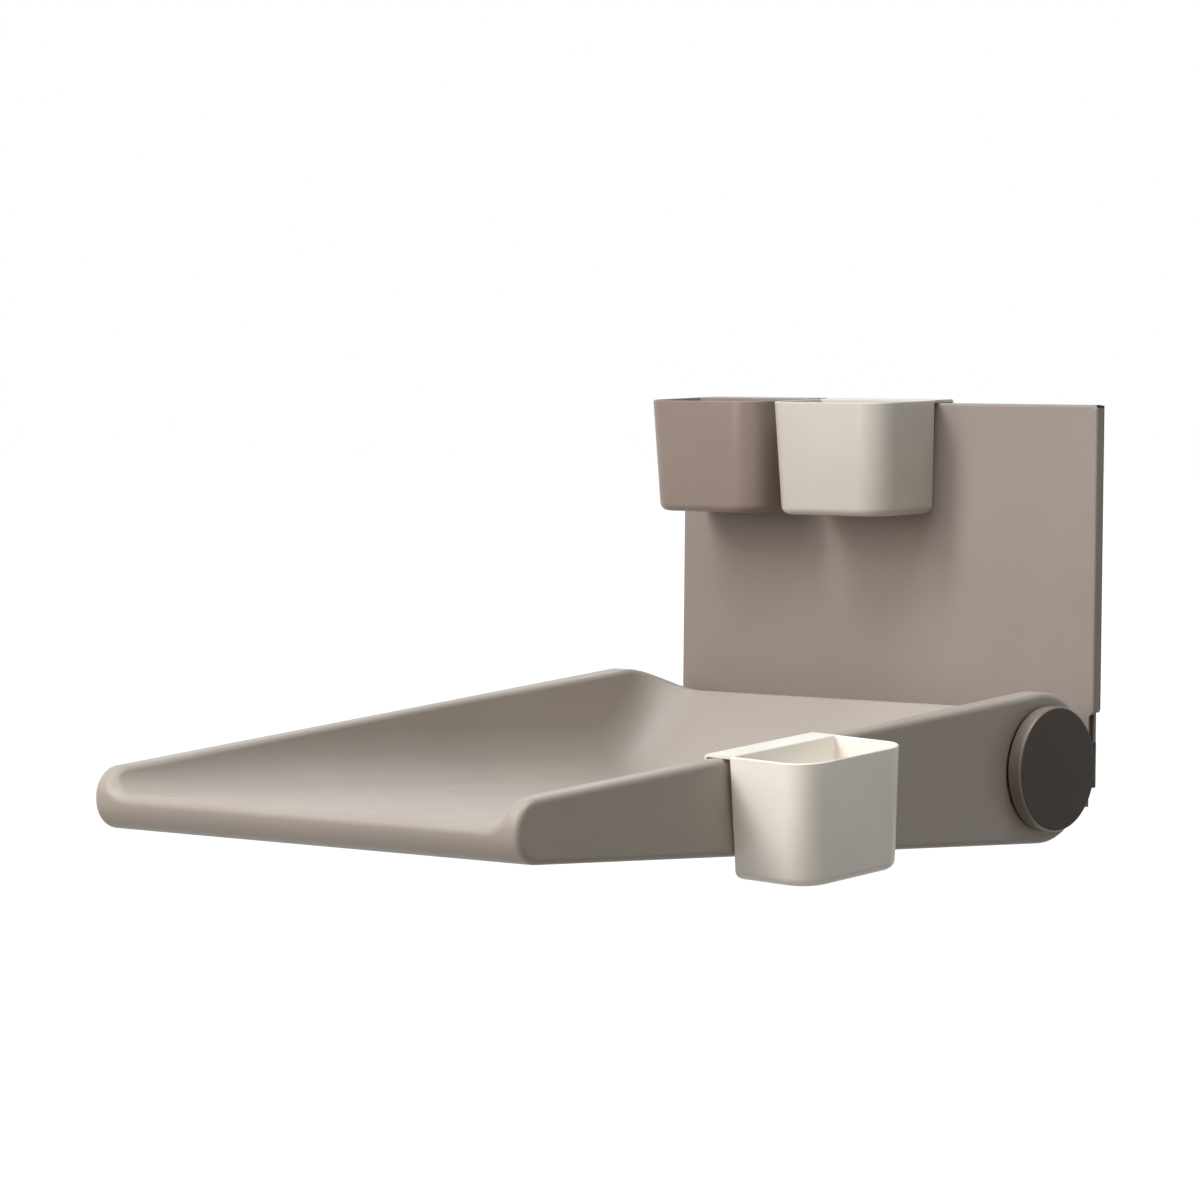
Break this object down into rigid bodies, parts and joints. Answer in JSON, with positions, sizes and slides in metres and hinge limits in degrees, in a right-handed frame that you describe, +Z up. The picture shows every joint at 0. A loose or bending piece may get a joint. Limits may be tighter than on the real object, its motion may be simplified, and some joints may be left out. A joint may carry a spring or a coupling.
{
  "type": "wall-mounted fold-down baby changing station",
  "caption": "Wall-mounted baby changing station: a moulded tray that folds up on side hinges against a flat wall plate, with lift-off storage boxes on hooks.",
  "frame": {"origin": "on the wall face, at the middle of the width and at the height of the hinge axis", "axes": "+Y into the wall, so the plate faces -Y and the open tray reaches out to -Y; +Z up; +X to the side with the tray's storage box"},
  "size_m": [0.6641, 0.8614, 0.4344],
  "materials": {
    "plate_paint": "matt powder coat, taupe",
    "galvanised": "zinc coated",
    "moulding": "soft foam moulding with a smooth skin, taupe",
    "cap": "satin moulded, dark brown",
    "black_steel": "black coated steel",
    "fastener": "plain steel",
    "bearing": "natural bearing plastic",
    "taupe_box": "satin moulded, taupe",
    "sand_box": "satin moulded, sand",
    "white_box": "satin moulded, off-white"
  },
  "bodies": {
    "wall": {"wall_plate": "plate_paint", "hanging_channel": "galvanised", "upper_wall_rail": "galvanised", "lower_wall_rail": "plate_paint", "hinge_arm_right": "black_steel", "arm_spacer_right": "black_steel", "arm_bolt_upper_right": "fastener", "arm_bolt_lower_right": "fastener", "arm_nut_upper_right": "fastener", "arm_nut_lower_right": "fastener", "hinge_cap_right": "cap", "pivot_bush_right": "bearing", "hinge_arm_left": "black_steel", "arm_spacer_left": "black_steel", "arm_bolt_upper_left": "fastener", "arm_bolt_lower_left": "fastener", "arm_nut_upper_left": "fastener", "arm_nut_lower_left": "fastener", "hinge_cap_left": "cap", "pivot_bush_left": "bearing"},
    "tray": {"tray_shell": "moulding", "cross_tube": "galvanised", "core_bar_right": "galvanised", "core_bar_left": "galvanised", "friction_washer_right": "bearing", "cup_spring_right": "fastener", "lock_nut_right": "fastener", "pivot_shaft_right": "fastener", "hub_plate_right": "galvanised", "tube_bolt_right": "fastener", "stop_pin_right": "fastener", "hub_screw_1_right": "fastener", "hub_screw_2_right": "fastener", "friction_washer_left": "bearing", "cup_spring_left": "fastener", "lock_nut_left": "fastener", "pivot_shaft_left": "fastener", "hub_plate_left": "galvanised", "tube_bolt_left": "fastener", "stop_pin_left": "fastener", "hub_screw_1_left": "fastener", "hub_screw_2_left": "fastener"},
    "box_right": {"storage_box_right": "sand_box"},
    "box_left": {"storage_box_left": "taupe_box"},
    "box_side": {"storage_box_side": "white_box"}
  },
  "joints": [
    {"name": "tray_fold", "type": "hinge", "parent": "wall", "child": "tray", "pos_m": [0, -0.1254, 0], "axis": [-1, 0, 0], "range_deg": [0, 90]},
    {"name": "box_right_lift", "type": "slide", "parent": "wall", "child": "box_right", "axis": [0, 0, 1], "range_m": [0, 0.04]},
    {"name": "box_left_lift", "type": "slide", "parent": "wall", "child": "box_left", "axis": [0, 0, 1], "range_m": [0, 0.04]},
    {"name": "box_side_lift", "type": "slide", "parent": "tray", "child": "box_side", "axis": [0, -0.0931, 0.9957], "range_m": [0, 0.04]}
  ]
}
